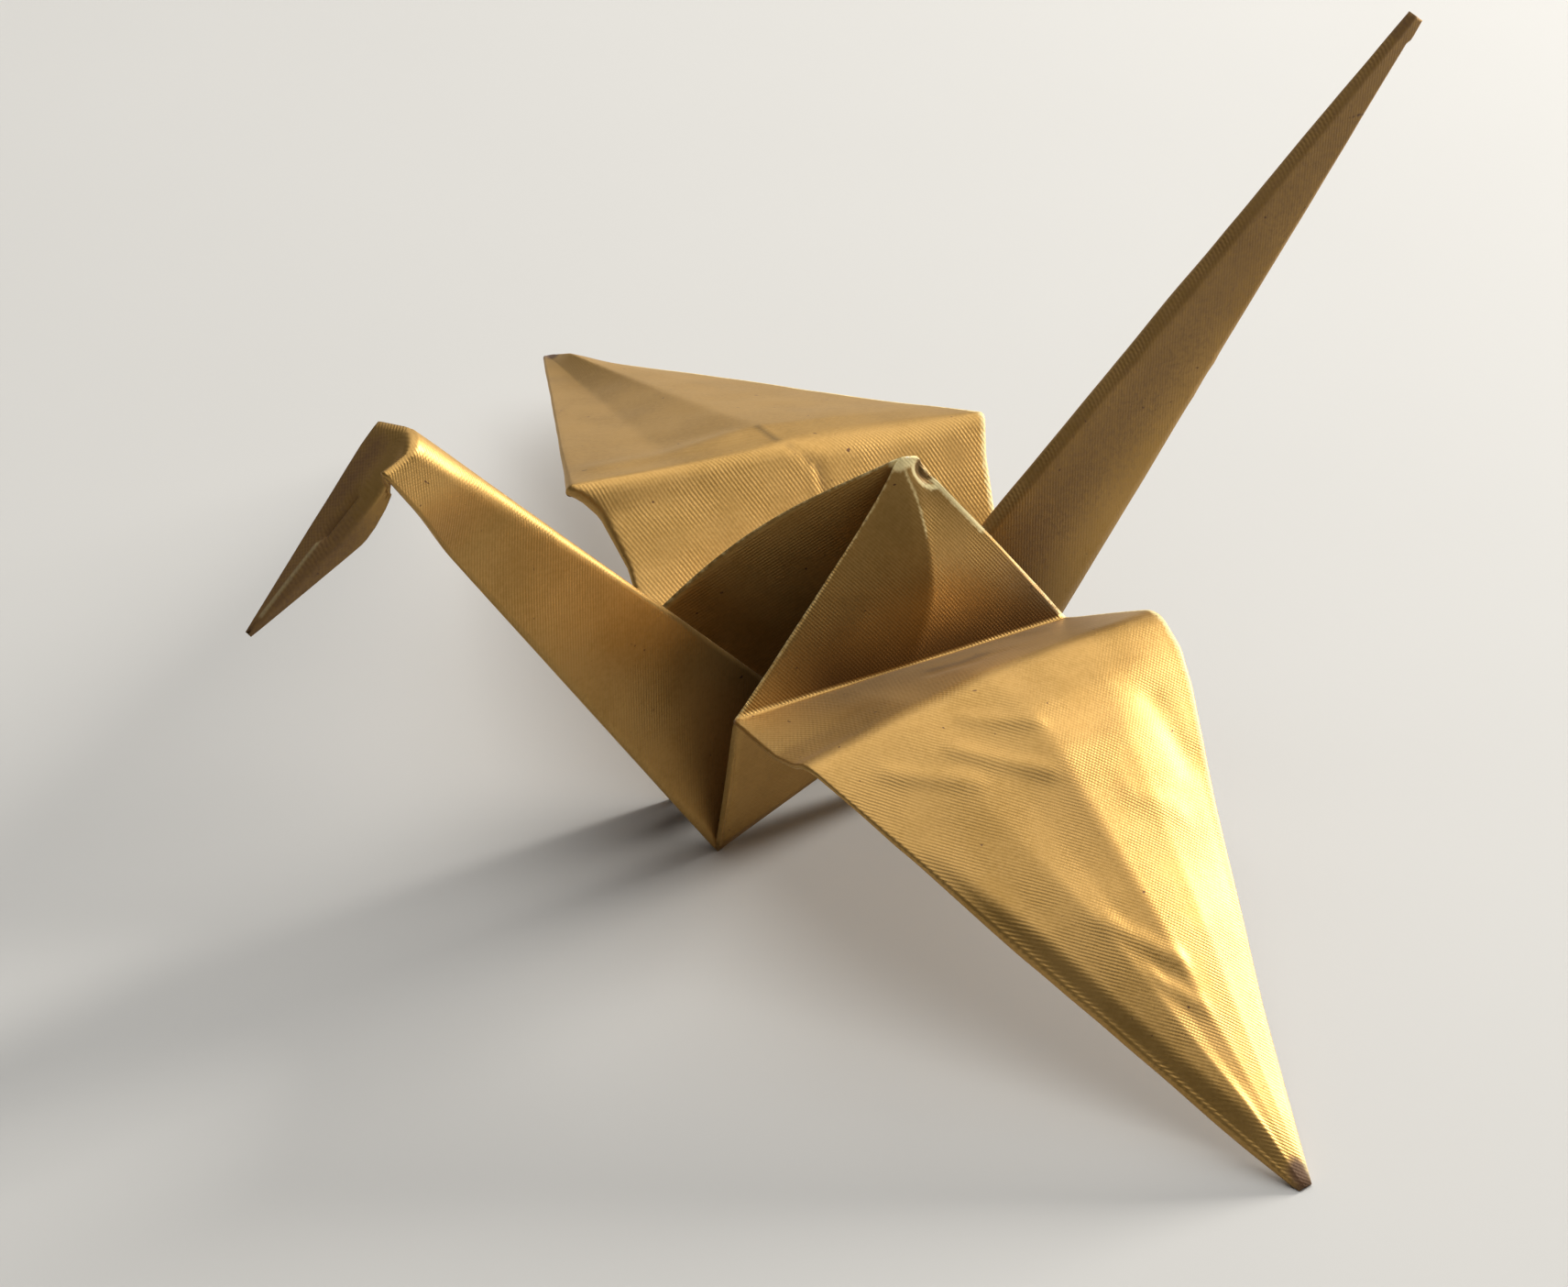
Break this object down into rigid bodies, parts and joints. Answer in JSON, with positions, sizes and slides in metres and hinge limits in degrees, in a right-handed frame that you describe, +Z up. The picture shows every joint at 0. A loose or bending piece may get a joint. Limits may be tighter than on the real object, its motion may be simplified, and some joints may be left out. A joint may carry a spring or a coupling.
{
  "type": "origami crane",
  "caption": "Folded paper crane standing on its leg corners, with one wing tip drooped to the table and neck and tail raised.",
  "frame": {"origin": "middle of the crane's bounding box at the level of the table", "axes": "+Z up, +X from the head towards the tail, +Y from the drooped wing towards the raised wing, along the wing span"},
  "size_m": [0.1084, 0.122, 0.0648],
  "materials": {
    "gold_paper": "satin metallic gold face with fine parallel grain, worn pale at the apex and along the folds"
  },
  "bodies": {
    "root": {"folded_crane": "gold_paper"}
  },
  "joints": []
}
